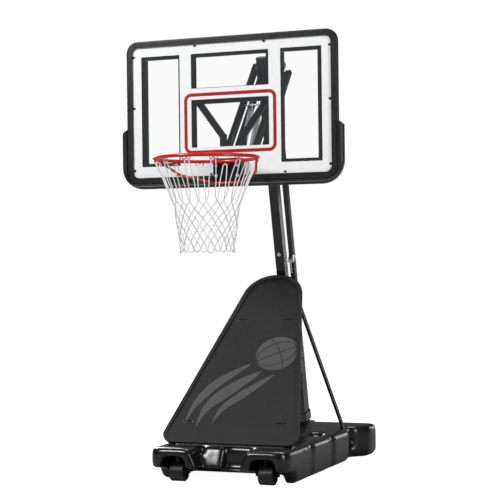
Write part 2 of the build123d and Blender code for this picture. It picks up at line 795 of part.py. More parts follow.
def back_crossbars():
    """Middle crossbar and the one that backs the rim, between the uprights."""
    half = WINDOW_MID - 15.1
    middle = steel_tube((-half, half), (WINDOW_LOWER_TOP - 20, WINDOW_UPPER_BOTTOM + 3), "x")
    lower = steel_tube((-half, half), (upright_span()[0], WINDOW_LOWER_BOTTOM - 2), "x")
    return group([middle, lower])


def board_bracket(side):
    """Diagonal stay and pivot plate that join the back frame to the arms."""
    front = PANEL_T + BACK_FRAME_DEPTH + 0.3
    back = front + 18
    top = (side * STAY_TOP_X, front + 9, 1908)
    knee = (side * 53, front + 9, 1700)
    stay = beam_between(top, knee, 32, 17)
    post = box(side * 53 - 16, side * 53 + 16, front, back, 1494, 1712)
    outline = [
        (back, 1690), (back, 1490), (back + 27, 1470), (LOWER_TIP[0] + 4, LOWER_TIP[1] - 24),
        (LOWER_TIP[0] + 26, LOWER_TIP[1] - 2), (UPPER_TIP[0] + 24, UPPER_TIP[1] + 10),
        (UPPER_TIP[0] - 4, UPPER_TIP[1] + 28),
    ]
    holes = [(*UPPER_TIP, PIN_R), (*LOWER_TIP, PIN_R)]
    x = sorted((side * 45, side * 50))
    plate = side_plate(outline, x[0], x[1], holes, 6)
    return stay + post + plate


def beam_between(p, q, width, depth):
    """Solid flat bar in a plane of constant y; width is in that plane, depth along Y."""
    p = Vector(*p)
    q = Vector(*q)
    plane = Plane(origin=p, x_dir=(0, 1, 0), z_dir=q - p)
    low = (Align.CENTER, Align.CENTER, Align.MIN)
    return plane * Box(depth, width, (q - p).length, align=low)


def board_pivot_bolts():
    return group([bolt(y, z, ARM_OUT + 0.4) for y, z in (UPPER_TIP, LOWER_TIP)])


def board_pivot_spacers():
    sleeves = []
    for y, z in (UPPER_TIP, LOWER_TIP):
        for side in (-1, 1):
            x = sorted((side * 50.1, side * (ARM_IN - 0.4)))
            sleeves.append(pin(y, z, x[0], x[1], 11) - pin(y, z, x[0] - 1, x[1] + 1, PIN_R))
    return group(sleeves)


# ---- rim -------------------------------------------------------------------------
def rim_bracket():
    """Black steel box bolted through the panel."""
    shell = box(-74, 74, -46, -0.1, 1458, 1586)
    shell = fillet(shell.edges().filter_by(Axis.Y), 8)
    shell -= box(-90, 90, -16.3, 10, 1440, TRIM_BOTTOM + 0.5)
    shell -= box(-90, 90, TRIM_FRONT - 0.1, 10, 1450, TRIM_BOTTOM + TRIM_WIDTH + 0.2)
    return shell - box(-70, 70, -42, 10, 1462, 1582)


def rim_ring():
    """Hoop with a tangent arm each side that runs back to the bracket."""
    ring = Pos(0, RIM_Y, RIM_Z) * Torus(RIM_R, RIM_BAR)
    plate = box(-60, 60, RIM_Y + RIM_R - 22, -46.1, RIM_Z - 2, RIM_Z + 4)
    notch = Pos(0, RIM_Y, RIM_Z) * Cylinder(RIM_R - 2, 60)
    return ring + (plate - notch)


def brace_points():
    return [
        (-246, -290, 1560), (-200, -180, 1504), (-68, BRACE_Y, BRACE_Z),
        (68, BRACE_Y, BRACE_Z), (200, -180, 1504), (246, -290, 1560),
    ]


def rim_brace():
    """Bent bar under the hoop, welded across the bracket's foot."""
    path = FilletPolyline(*brace_points(), radius=45)
    start = Plane(origin=path @ 0, z_dir=path % 0)
    bar = sweep(start * Circle(6), path=path)
    trimmed = bar - Pos(0, RIM_Y, RIM_Z) * Torus(RIM_R, RIM_BAR + 0.1)
    return max(trimmed.solids(), key=lambda solid: solid.volume)


def rim_bolt_xz():
    return [(x, z) for x in (-56, 56) for z in (1500, 1551)]


def rim_bolts():
    """Two bolts through the panel into the back frame, two into the bracket's foot."""
    bolts = []
    for x, z in rim_bolt_xz():
        stop = PANEL_T + BACK_FRAME_DEPTH if z > 1510 else -9.0
        head = Pos(x, -50.1, z) * Rot(90, 0, 0) * Cylinder(8.5, 7.8)
        shank = rod((x, -48, z), (x, stop, z), RIM_BOLT_R)
        bolts.append(head + shank)
    return group(bolts)


def rim_bolt_holes(shape):
    """Holes for the bolts that clamp the rim's bracket."""
    for x, z in rim_bolt_xz():
        shape -= rod((x, -60, z), (x, 60, z), RIM_BOLT_R + 0.05)
    return shape


def net_hooks():
    """Small wire loops under the hoop that carry the net."""
    hooks = []
    for i in range(HOOKS):
        angle = i * 360 / HOOKS
        loop = Rot(90, 0, 0) * Torus(9, 2)
        loop = Pos(RIM_R - 5, 0, RIM_Z - RIM_BAR - 11.3) * loop
        hooks.append(Pos(0, RIM_Y, 0) * Rot(0, 0, angle) * loop)
    return group(hooks)


def net():
    """Soft net as a thin tapering sleeve, open at both ends."""
    outer = [
        (NET_TOP_R, NET_TOP_Z - 24), (NET_KNOT_R, NET_KNOT_Z), (NET_END_R + 2, 1200),
        (NET_END_R, NET_END_Z),
    ]
    inner = [(r - NET_T, z) for r, z in reversed(outer)]
    face = Plane(origin=(0, RIM_Y, 0), x_dir=(1, 0, 0), z_dir=(0, -1, 0))
    profile = face * Polygon(*(outer + inner), align=None)
    return revolve(profile, Axis((0, RIM_Y, 0), (0, 0, 1)), 360)


def holed_board():
    """Panel, rails and bracket with the rim's bolt holes."""
    save("backboard_panel", rim_bolt_holes(backboard_panel()))
    save("back_rails", rim_bolt_holes(back_rails()))
    save("rim_bracket", rim_bolt_holes(rim_bracket()))
    save("rim_ring", rim_bolt_holes(rim_ring()))
    save("rim_brace", rim_bolt_holes(rim_brace()))


def main():
    save("base_tank", base_tank())
    save("ballast_water", tank_cavity(0.4))
    save("fill_cap", fill_cap())
    save("wheel_axles", wheel_axles())
    save("wheel_left", wheel(-1))
    save("wheel_right", wheel(1))
    save("lower_pole", drilled(lower_pole(), plate_bolt_points()[2:4]))
    save("pole_foot", pole_foot())
    save("upper_pole", upper_pole_drilled())
    save("pole_cap", pole_cap())
    save("mast_plates", mast_plates())
    save("mast_bolts", mast_bolts())
    save("mast_spacers", mast_spacers())
    save("pole_lock_bolts", pole_lock_bolts())
    save("head_plates", head_plates())
    save("head_bolts", head_bolts())
    save("arm_hinge_bolts", arm_hinge_bolts())
    save("arm_spacers", arm_spacers())
    for name, side in (("left", -1), ("right", 1)):
        save(f"rear_strut_{name}", rear_strut(side))
        save(f"front_strut_{name}", front_strut(side))
        save(f"upper_arm_{name}", upper_arm(side))
        save(f"lower_arm_{name}", lower_arm(side))
        save(f"board_bracket_{name}", board_bracket(side))
    save("strut_bolts", strut_bolts())
    save("front_cover", front_cover())
    save("cover_straps", cover_straps())
    save("spring_pin", spring_pin())
    save("balance_springs", springs())
    save("lift_tube", lift_tube())
    save("lift_pin", lift_pin())
    save("trigger_pin", trigger_pin())
    save("trigger_lever", trigger_lever())
    save("lift_grip", lift_grip())
    save("board_frame", board_frame())
    save("bottom_pad", bottom_pad())
    save("board_screws", board_screws())
    save("back_sides", back_sides())
    save("back_uprights", back_uprights())
    save("back_crossbars", back_crossbars())
    save("board_pivot_bolts", board_pivot_bolts())
    save("board_pivot_spacers", board_pivot_spacers())
    holed_board()
    save("rim_bolts", rim_bolts())
    save("net_hooks", net_hooks())
    save("net", net())


def upper_pole_drilled():
    pole = drilled(upper_pole(), plate_bolt_points()[:2] + head_bolt_points())
    return lock_bolt_holes(pole)


main()
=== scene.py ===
import json
import math
import random

import bmesh
import bpy
from mathutils import Matrix, Vector


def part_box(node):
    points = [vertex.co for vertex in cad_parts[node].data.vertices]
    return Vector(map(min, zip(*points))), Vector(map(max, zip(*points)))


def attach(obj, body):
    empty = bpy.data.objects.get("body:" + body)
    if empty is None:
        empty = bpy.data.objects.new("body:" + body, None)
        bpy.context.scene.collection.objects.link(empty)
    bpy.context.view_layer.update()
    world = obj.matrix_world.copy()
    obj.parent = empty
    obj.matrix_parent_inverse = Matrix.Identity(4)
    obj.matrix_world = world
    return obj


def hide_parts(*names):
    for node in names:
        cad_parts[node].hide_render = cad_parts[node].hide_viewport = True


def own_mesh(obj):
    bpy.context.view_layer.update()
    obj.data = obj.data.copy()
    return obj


# Portable basketball hoop. Metres, in the CAD's frame: +Z up, the board faces -Y.
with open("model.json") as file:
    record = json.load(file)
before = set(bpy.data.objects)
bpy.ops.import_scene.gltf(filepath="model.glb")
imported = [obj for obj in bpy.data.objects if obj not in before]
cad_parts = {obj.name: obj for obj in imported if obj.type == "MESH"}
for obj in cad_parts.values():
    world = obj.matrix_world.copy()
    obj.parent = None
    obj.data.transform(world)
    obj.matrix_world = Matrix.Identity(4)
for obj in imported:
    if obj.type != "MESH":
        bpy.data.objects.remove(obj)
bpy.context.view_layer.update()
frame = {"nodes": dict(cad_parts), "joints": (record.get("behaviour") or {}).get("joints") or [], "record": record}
NODES = frame["nodes"]
MM = 0.001

# ---- places worked out from the frame ------------------------------------------------
PANEL_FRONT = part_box("backboard_panel")[0].y
RING_LOW, RING_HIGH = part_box("rim_ring")
PAD_LOW, PAD_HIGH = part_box("bottom_pad")
TRIM_LOW, TRIM_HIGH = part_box("board_frame")
TANK_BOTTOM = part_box("base_tank")[0].z
JOINTS = {joint["name"]: joint for joint in frame["joints"]}

RIM_BAR = 8.5 * MM
RIM_R = 247.5 * MM
RIM_CENTRE = Vector((0, RING_LOW.y + RIM_R + RIM_BAR, RING_HIGH.z - RIM_BAR))
HOOKS = 12


# ---- mesh helpers --------------------------------------------------------------------
def mesh_object(name, verts, faces, smooth=True):
    """New object from vertex and face lists."""
    mesh = bpy.data.meshes.new(name)
    mesh.from_pydata([tuple(v) for v in verts], [], faces)
    mesh.update()
    obj = bpy.data.objects.new(name, mesh)
    bpy.context.scene.collection.objects.link(obj)
    for polygon in mesh.polygons:
        polygon.use_smooth = smooth
    return obj


def catmull(points, steps, closed=False):
    """Smooth line through the points, with steps pieces between each two."""
    count = len(points)
    spans = count if closed else count - 1
    line = []
    for i in range(spans):
        p = []
        for k in (-1, 0, 1, 2):
            j = i + k
            j = j % count if closed else min(max(j, 0), count - 1)
            p.append(Vector(points[j]))
        for s in range(steps):
            t = s / steps
            a = 2 * p[1] + (p[2] - p[0]) * t
            b = (2 * p[0] - 5 * p[1] + 4 * p[2] - p[3]) * t * t
            c = (3 * p[1] - p[0] - 3 * p[2] + p[3]) * t * t * t
            line.append((a + b + c) / 2)
    if not closed:
        line.append(Vector(points[-1]))
    return line


def frames_along(line, closed=False):
    """Side and normal at each point of a line, turning as little as possible."""
    count = len(line)
    tangents = []
    for i in range(count):
        before = line[i - 1] if (i > 0 or closed) else line[i]
        after = line[(i + 1) % count] if (i < count - 1 or closed) else line[i]
        tangents.append((after - before).normalized())
    side = tangents[0].orthogonal().normalized()
    frames = []
    for i, tangent in enumerate(tangents):
        if i:
            turn = tangents[i - 1].rotation_difference(tangent)
            side = turn @ side
        side = (side - tangent * side.dot(tangent)).normalized()
        frames.append((side, tangent.cross(side)))
    return frames


def tube(line, radius, sides=8, closed=False):
    """Vertices and faces of a round tube along a line."""
    count = len(line)
    verts = []
    faces = []
    for (side, normal), point in zip(frames_along(line, closed), line):
        for k in range(sides):
            angle = 2 * math.pi * k / sides
            turn = side * (radius * math.cos(angle)) + normal * (radius * math.sin(angle))
            verts.append(point + turn)
    rings = count if closed else count - 1
    for i in range(rings):
        j = (i + 1) % count
        for k in range(sides):
            m = (k + 1) % sides
            faces.append((i * sides + k, i * sides + m, j * sides + m, j * sides + k))
    if not closed:
        faces.append(tuple(reversed(range(sides))))
        faces.append(tuple(range((count - 1) * sides, count * sides)))
    return verts, faces


def joined(parts):
    """Several (vertices, faces) lists as one."""
    verts = []
    faces = []
    for part_verts, part_faces in parts:
        start = len(verts)
        verts.extend(part_verts)
        faces.extend(tuple(i + start for i in face) for face in part_faces)
    return verts, faces


def place(obj, body, material):
    """Give a finished piece its body, slot and material."""
    obj.data.materials.clear()
    obj.data.materials.append(material)
    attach(obj, body)
    return obj


def rounded_rect(x0, x1, z0, z1, radius, steps=6):
    """Corner-rounded rectangle as a list of 2D points, anticlockwise."""
    corners = [(x1 - radius, z0 + radius, -90), (x1 - radius, z1 - radius, 0)]
    corners += [(x0 + radius, z1 - radius, 90), (x0 + radius, z0 + radius, 180)]
    points = []
    for cx, cz, start in corners:
        for k in range(steps + 1):
            angle = math.radians(start + 90 * k / steps)
            points.append((cx + radius * math.cos(angle), cz + radius * math.sin(angle)))
    return points


def flat_plate(name, loops, thickness, matrix):
    """Thin plate from 2D loops, the first outside and the rest holes, placed by a matrix."""
    curve = bpy.data.curves.new(name, "CURVE")
    curve.dimensions = "2D"
    curve.fill_mode = "BOTH"
    curve.extrude = thickness / 2
    for loop in loops:
        spline = curve.splines.new("POLY")
        spline.points.add(len(loop) - 1)
        for point, (x, y) in zip(spline.points, loop):
            point.co = (x, y, 0, 1)
        spline.use_cyclic_u = True
    holder = bpy.data.objects.new(name + "_curve", curve)
    bpy.context.scene.collection.objects.link(holder)
    mesh = bpy.data.meshes.new_from_object(holder)
    bpy.data.objects.remove(holder)
    mesh.name = name
    obj = bpy.data.objects.new(name, mesh)
    bpy.context.scene.collection.objects.link(obj)
    mesh.transform(matrix)
    work = bmesh.new()
    work.from_mesh(mesh)
    bmesh.ops.remove_doubles(work, verts=work.verts, dist=1e-6)
    bmesh.ops.recalc_face_normals(work, faces=work.faces)
    work.to_mesh(mesh)
    work.free()
    for polygon in mesh.polygons:
        polygon.use_smooth = False
    return obj


# ---- materials -----------------------------------------------------------------------
class Shader:
    """A Principled material with a few short ways of adding nodes."""

    def __init__(self, name, colour, roughness, metallic=0.0):
        self.material = bpy.data.materials.new(name)
        self.material.use_nodes = True
        self.tree = self.material.node_tree
        self.bsdf = self.tree.nodes["Principled BSDF"]
        self.bsdf.inputs["Base Color"].default_value = (*colour, 1)
        self.bsdf.inputs["Roughness"].default_value = roughness
        self.bsdf.inputs["Metallic"].default_value = metallic
        self.place = self.tree.nodes.new("ShaderNodeTexCoord").outputs["Object"]
        self.height = None

    def add(self, kind):
        return self.tree.nodes.new(kind)

    def link(self, source, target):
        self.tree.links.new(source, target)

    def noise(self, scale, detail, rough=0.55):
        node = self.add("ShaderNodeTexNoise")
        node.inputs["Scale"].default_value = scale
        node.inputs["Detail"].default_value = detail
        node.inputs["Roughness"].default_value = rough
        self.link(self.place, node.inputs["Vector"])
        return node.outputs["Fac"]

    def between(self, value, low, high, start=0.3, stop=0.7):
        """A number that goes from low to high while value goes from start to stop."""
        node = self.add("ShaderNodeMapRange")
        self.link(value, node.inputs["Value"])
        node.inputs["From Min"].default_value = start
        node.inputs["From Max"].default_value = stop
        node.inputs["To Min"].default_value = low
        node.inputs["To Max"].default_value = high
        return node.outputs["Result"]

    def colours(self, value, dark, light):
        """Colour that goes from dark to light with value."""
        ramp = self.add("ShaderNodeValToRGB")
        low, high = ramp.color_ramp.elements
        low.position, high.position = 0.3, 0.7
        low.color, high.color = (*dark, 1), (*light, 1)
        self.link(value, ramp.inputs["Fac"])
        self.link(ramp.outputs["Color"], self.bsdf.inputs["Base Color"])

    def bump(self, value, depth, strength):
        """Add a layer of bump; depth is in metres."""
        node = self.add("ShaderNodeBump")
        node.inputs["Strength"].default_value = strength
        node.inputs["Distance"].default_value = depth
        self.link(value, node.inputs["Height"])
        if self.height:
            self.link(self.height, node.inputs["Normal"])
        self.height = node.outputs["Normal"]
        self.link(self.height, self.bsdf.inputs["Normal"])

    def roughness(self, value):
        self.link(value, self.bsdf.inputs["Roughness"])

    def set(self, **values):
        names = {"coat": "Coat Weight", "coat_rough": "Coat Roughness", "sheen": "Sheen Weight"}
        names.update({"specular": "Specular IOR Level", "alpha": "Alpha"})
        for key, value in values.items():
            self.bsdf.inputs[names[key]].default_value = value


def gloss_paint(name, colour, light, rough=0.12):
    """Powder coat: fine orange peel under a hard gloss."""
    s = Shader(name, colour, rough)
    s.colours(s.noise(9, 4), colour, light)
    s.roughness(s.between(s.noise(28, 4), rough * 0.75, rough * 1.5))
    s.bump(s.noise(420, 2), 0.00012, 0.35)
    s.set(coat=0.12, coat_rough=0.06, specular=0.4)
    return s.material


def moulded_gloss(name, colour, light):
    """Blow-moulded plastic: slight waviness, faint scuffs, high gloss."""
    s = Shader(name, colour, 0.16)
    s.colours(s.noise(5, 5), colour, light)
    scuffs = s.noise(60, 6, 0.7)
    s.roughness(s.between(scuffs, 0.2, 0.3, 0.35, 0.75))
    s.bump(s.noise(11, 2), 0.0006, 0.5)
    s.bump(s.noise(260, 3), 0.00003, 0.3)
    s.set(specular=0.55)
    return s.material


def moulded_satin(name, colour, light, rough=0.42, grain=900.0):
    """Injection-moulded plastic with a fine leather-like grain."""
    s = Shader(name, colour, rough)
    s.colours(s.noise(7, 5), colour, light)
    s.roughness(s.between(s.noise(40, 4), rough - 0.07, rough + 0.08))
    cells = s.add("ShaderNodeTexVoronoi")
    cells.inputs["Scale"].default_value = grain
    s.link(s.place, cells.inputs["Vector"])
    s.bump(cells.outputs["Distance"], 0.0002, 0.5)
    s.bump(s.noise(18, 2), 0.0008, 0.3)
    s.set(specular=0.3)
    return s.material


def bright_metal(name, colour, light, rough=0.25):
    """Zinc plate: fine mottling and a soft shine."""
    s = Shader(name, colour, rough, 1.0)
    s.colours(s.noise(160, 4), colour, light)
    s.roughness(s.between(s.noise(90, 5), rough * 0.7, rough * 1.5))
    s.bump(s.noise(700, 2), 0.00006, 0.4)
    return s.material


def soft_rubber(name, colour, light, rough=0.5):
    """Foam pad skin and rubber grip: fine pebble grain."""
    s = Shader(name, colour, rough)
    s.colours(s.noise(12, 5), colour, light)
    s.roughness(s.between(s.noise(30, 4), rough - 0.08, rough + 0.08))
    s.bump(s.noise(500, 4, 0.6), 0.0004, 0.6)
    s.set(sheen=0.08)
    return s.material


def braided_cord(name, colour, light):
    """White braided cord: two sets of crossing strands."""
    s = Shader(name, colour, 0.75)
    s.colours(s.noise(220, 4), colour, light)
    for angle in (35, -35):
        turn = s.add("ShaderNodeMapping")
        rotation = (0, math.radians(angle), math.radians(angle / 2))
        turn.inputs["Rotation"].default_value = rotation
        s.link(s.place, turn.inputs["Vector"])
        wave = s.add("ShaderNodeTexWave")
        wave.inputs["Scale"].default_value = 260
        wave.inputs["Distortion"].default_value = 1.0
        s.link(turn.outputs["Vector"], wave.inputs["Vector"])
        s.bump(wave.outputs["Fac"], 0.0005, 0.5)
    s.set(sheen=0.2)
    return s.material


def webbing_cloth(name, colour, light):
    """Woven polyester webbing."""
    s = Shader(name, colour, 0.8)
    s.colours(s.noise(150, 4), colour, light)
    for axis in ("X", "Z"):
        wave = s.add("ShaderNodeTexWave")
        wave.bands_direction = axis
        wave.inputs["Scale"].default_value = 320
        s.link(s.place, wave.inputs["Vector"])
        s.bump(wave.outputs["Fac"], 0.0003, 0.5)
    s.set(sheen=0.3)
    return s.material


def clear_sheet(name):
    """Clear polycarbonate with a faint haze."""
    s = Shader(name, (0.35, 0.38, 0.39), 0.06)
    s.roughness(s.between(s.noise(14, 5), 0.03, 0.09))
    s.set(alpha=0.035, specular=0.3)
    return s.material


def printed_ink(name, colour, light, rough=0.3):
    """Screen print: very slight mottling in the ink."""
    s = Shader(name, colour, rough)
    s.colours(s.noise(45, 5), colour, light)
    s.roughness(s.between(s.noise(80, 4), rough - 0.05, rough + 0.07))
    s.bump(s.noise(900, 2), 0.00003, 0.3)
    s.set(specular=0.15)
    return s.material


def water_ballast(name):
    """Clear water, sealed in the tank."""
    s = Shader(name, (0.35, 0.5, 0.55), 0.05)
    s.colours(s.noise(4, 3), (0.3, 0.46, 0.52), (0.4, 0.55, 0.6))
    return s.material


MATERIALS = {
    "tank_plastic": moulded_gloss("tank_plastic", (0.004, 0.004, 0.0045), (0.007, 0.007, 0.0075)),
    "ballast": water_ballast("ballast"),
    "cap_plastic": moulded_satin("cap_plastic", (0.012, 0.012, 0.012), (0.02, 0.02, 0.02)),
    "wheel_plastic": moulded_satin("wheel_plastic", (0.014, 0.014, 0.014), (0.024, 0.024, 0.024)),
    "mast_steel": gloss_paint("mast_steel", (0.007, 0.007, 0.008), (0.011, 0.011, 0.012)),
    "zinc": bright_metal("zinc", (0.66, 0.67, 0.69), (0.8, 0.81, 0.82), 0.32),
    "spring_steel": bright_metal("spring_steel", (0.74, 0.77, 0.82), (0.88, 0.9, 0.94), 0.34),
    "cover_plastic": moulded_satin(
        "cover_plastic", (0.016, 0.016, 0.017),
        (0.021, 0.021, 0.022), 0.5),
    # near-black webbing: black strap colour darkened further, below the cover's, as painted shade inside the
    # cover's strap slots
    "webbing": webbing_cloth("webbing", (0.003, 0.003, 0.003), (0.008, 0.008, 0.008)),
    "clear_panel": clear_sheet("clear_panel"),
    "trim_plastic": moulded_satin(
        "trim_plastic", (0.012, 0.012, 0.013),
        (0.018, 0.018, 0.019), 0.32),
    "pad_foam": soft_rubber("pad_foam", (0.01, 0.01, 0.011), (0.016, 0.016, 0.017), 0.36),
    "rim_paint": gloss_paint("rim_paint", (0.56, 0.012, 0.01), (0.64, 0.022, 0.015), 0.14),
    "net_cord": braided_cord("net_cord", (0.86, 0.86, 0.86), (0.95, 0.95, 0.95)),
    "grip_rubber": soft_rubber("grip_rubber", (0.012, 0.012, 0.012), (0.02, 0.02, 0.02), 0.6),
}
PRINT_WHITE = printed_ink("print_white", (0.86, 0.87, 0.87), (0.9, 0.91, 0.91))
PRINT_RED = printed_ink("print_red", (0.34, 0.02, 0.02), (0.4, 0.028, 0.026))
MOTIF_GREY = moulded_satin("motif_grey", (0.075, 0.075, 0.078), (0.09, 0.09, 0.093), 0.5)
SEAM_DARK = moulded_satin("seam_dark", (0.03, 0.03, 0.031), (0.036, 0.036, 0.037), 0.5)


SKIN_VOXEL = 7.5 * MM
SKIN_SMOOTHING = 36


def blow_moulded(node):
    """Soften the tank with modifiers on its CAD node.

    The visible skin then leaves the CAD surface by up to about 12 mm, and
    small CAD details, such as those of the front channel, are lost.
    """
    remesh = node.modifiers.new("skin", "REMESH")
    remesh.mode = "VOXEL"
    remesh.voxel_size = SKIN_VOXEL
    remesh.use_smooth_shade = True
    smooth = node.modifiers.new("soften", "SMOOTH")
    smooth.factor = 0.6
    smooth.iterations = SKIN_SMOOTHING


EDGE_ROUNDING = {"front_cover": 2.2 * MM, "board_frame": 1.2 * MM, "fill_cap": 2.0 * MM}
USUAL_ROUNDING = 0.7 * MM


def finish_cad_nodes():
    """Each CAD node takes its slot's material and softened edges."""
    slots = {row["node"]: row["material_slot"] for row in frame["record"]["subparts"]}
    for name, node in NODES.items():
        node.data.materials.clear()
        node.data.materials.append(MATERIALS[slots[name]])
        if name == "ballast_water":
            continue
        if name == "base_tank":
            blow_moulded(node)
            continue
        bevel = node.modifiers.new("soft_edges", "BEVEL")
        bevel.width = EDGE_ROUNDING.get(name, USUAL_ROUNDING)
        bevel.segments = 2
        bevel.limit_method = "ANGLE"
        bevel.angle_limit = math.radians(40)
        bevel.use_clamp_overlap = True
        bevel.harden_normals = True


# ---- board ---------------------------------------------------------------------------
WINDOW_SIDE = (268 * MM, 479 * MM, 1560 * MM, 2117 * MM)
WINDOW_UPPER = (206 * MM, 1943 * MM, 2117 * MM)
WINDOW_LOWER = (206 * MM, 1648 * MM, 1887 * MM)
TARGET = (245 * MM, 1616 * MM, 1920 * MM)
TARGET_LINE = 17 * MM
TARGET_CORNER = 38 * MM
PRINT_HALF = 527 * MM
PRINT_BOTTOM = 1505 * MM
PRINT_TOP = 2164 * MM
PRINT_CORNER = 31 * MM
INK = 0.2 * MM


def board_plane(y):
    """Matrix from a 2D drawing (x, z) to the board's plane at y, facing the front."""
    turn = Matrix(((1, 0, 0), (0, 0, -1), (0, 1, 0))).to_4x4()
    return Matrix.Translation((0, y, 0)) @ turn


def board_print():
    """White print with its clear windows, and the red target line over it."""
    loops = [rounded_rect(-PRINT_HALF, PRINT_HALF, PRINT_BOTTOM, PRINT_TOP, PRINT_CORNER)]
    spans = []
    for half, bottom, top in (WINDOW_UPPER, WINDOW_LOWER):
        spans.append((-half, half, bottom, top))
    near, far, bottom, top = WINDOW_SIDE
    spans += [(near, far, bottom, top), (-far, -near, bottom, top)]
    for span in spans:
        loops.append(rounded_rect(*span, 3 * MM, 3))
    white = flat_plate("board_print", loops, INK, board_plane(PANEL_FRONT - INK))
    place(white, "board", PRINT_WHITE)
    w, z0, z1 = TARGET
    line = TARGET_LINE
    loops = [
        rounded_rect(-w, w, z0, z1, TARGET_CORNER, 8),
        rounded_rect(-w + line, w - line, z0 + line, z1 - line, TARGET_CORNER - line, 8),
    ]
    red = flat_plate("target_print", loops, INK, board_plane(PANEL_FRONT - 2.5 * INK))
    place(red, "board", PRINT_RED)


def pad_outline(half, bottom, top, radius, steps):
    """U-shaped line round the board's lower edge, from the left end to the right end."""
    points = []
    for k in range(steps + 1):
        points.append((-half, top + (bottom + radius - top) * k / steps))
    for k in range(1, steps + 1):
        angle = math.radians(180 + 90 * k / steps)
        x = -half + radius + radius * math.cos(angle)
        points.append((x, bottom + radius + radius * math.sin(angle)))
    span = half - radius
    for k in range(1, 2 * steps):
        points.append((-span + span * k / steps, bottom))
    mirrored = [(-x, z) for x, z in reversed(points[:2 * steps + 1])]
    return points + mirrored


# Section of the pad: share of the way from inside to outside, and depth from the front.
PAD_PROFILE = [
    (0.00, 0.45), (0.00, 0.10), (0.04, 0.03), (0.10, 0.02), (0.15, 0.07), (0.20, 0.14),
    (0.26, 0.09), (0.36, 0.02), (0.55, 0.0), (0.74, 0.03), (0.88, 0.12), (0.97, 0.26),
    (1.00, 0.45), (1.00, 0.75), (0.96, 0.92), (0.88, 1.0), (0.40, 1.0), (0.0, 1.0),
]
PAD_STEPS = 14
PAD_CORNER = 112 * MM
PAD_TAPER = 22 * MM
PAD_GAP = 0.2 * MM
TRIM_CORNER = 60 * MM


def bottom_pad():
    """Soft guard with a rolled lip, round the lower corners of the board."""
    inner_half = TRIM_HIGH.x + PAD_GAP
    inner_bottom = TRIM_LOW.z - PAD_GAP
    top = PAD_HIGH.z + 3 * MM
    outer = pad_outline(PAD_HIGH.x, PAD_LOW.z, top - PAD_TAPER, PAD_CORNER, PAD_STEPS)
    inner = pad_outline(inner_half, inner_bottom, top, TRIM_CORNER + PAD_GAP, PAD_STEPS)
    depth = PAD_HIGH.y - PAD_LOW.y
    verts = []
    faces = []
    for (ox, oz), (ix, iz) in zip(outer, inner):
        for share, back in PAD_PROFILE:
            x = ix + (ox - ix) * share
            z = iz + (oz - iz) * share
            verts.append((x, PAD_LOW.y + depth * back, z))
    n = len(PAD_PROFILE)
    for i in range(len(outer) - 1):
        for k in range(n):
            m = (k + 1) % n
            faces.append((i * n + k, i * n + m, (i + 1) * n + m, (i + 1) * n + k))
    faces.append(tuple(range(n)))
    faces.append(tuple(reversed(range(len(verts) - n, len(verts)))))
    pad = mesh_object("bottom_pad_moulded", verts, faces)
    round_ends(pad)
    place(pad, "board", MATERIALS["pad_foam"])
    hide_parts("bottom_pad")


def round_ends(obj):
    """Correct the facing and bevel the sharp edges of a closed mesh."""
    work = bmesh.new()
    work.from_mesh(obj.data)
    bmesh.ops.recalc_face_normals(work, faces=work.faces)
    work.to_mesh(obj.data)
    work.free()
    bevel = obj.modifiers.new("ends", "BEVEL")
    bevel.width = 2.5 * MM
    bevel.segments = 3
    bevel.limit_method = "ANGLE"
    bevel.angle_limit = math.radians(55)


# ---- net -----------------------------------------------------------------------------
CORD_R = 2.7 * MM
# Radius and height of each row of knots, of the end loops, and of where a hook's two legs
# part, in millimetres.
NET_ROWS = [(158, 1341), (147, 1286), (139, 1231), (134, 1177)]
NET_END = (131, 1113)
LEG_SPLIT = (171, 1380)
SAG = 2.5
LOOP_HALF = math.degrees(11 / 232)


def ring_point(angle, radius_mm, z_mm):
    """Point of the net at an angle in degrees round the rim's centre."""
    a = math.radians(angle)
    r = radius_mm * MM
    return Vector((r * math.cos(a), RIM_CENTRE.y + r * math.sin(a), z_mm * MM))


def net_knots(rng):
    """Knots of each row, half a step apart from row to row, each a little out of line."""
    rows = []
    pitch = 360 / HOOKS
    for row, (radius, z) in enumerate(NET_ROWS):
        start = pitch * (0.5 if row % 2 == 0 else 0.0)
        knots = []
        for i in range(HOOKS):
            angle = start + pitch * i + rng.uniform(-1.3, 1.3)
            spot = (radius + rng.uniform(-3, 3), z + rng.uniform(-6, 6))
            knots.append(ring_point(angle, *spot))
        rows.append(knots)
    return rows


def knot(centre, rng):
    """Small knot: two crossed turns of cord."""
    parts = []
    out = Vector((centre.x, centre.y - RIM_CENTRE.y, 0)).normalized()
    along = Vector((0, 0, 1)).cross(out)
    for lean in (0.6, -0.6):
        axis = (along * math.cos(lean) + Vector((0, 0, 1)) * math.sin(lean)).normalized()
        across = axis.cross(out)
        turn = rng.uniform(0, 3)
        line = []
        for k in range(10):
            a = turn + 2 * math.pi * k / 10
            step = out * (3.4 * MM * math.cos(a)) + across * (4.2 * MM * math.sin(a))
            line.append(centre + step)
        parts.append(tube(line, CORD_R * 0.82, 6, closed=True))
    return parts


def slack(a, b, rng):
    """Middle point of a cord between two knots, a little outside the straight line."""
    middle = (a + b) / 2
    out = Vector((middle.x, middle.y - RIM_CENTRE.y, 0)).normalized()
    bulge = out * (rng.uniform(0.2, 1.0) * SAG * MM)
    return middle + bulge + Vector((0, 0, -rng.uniform(0, SAG) * MM))


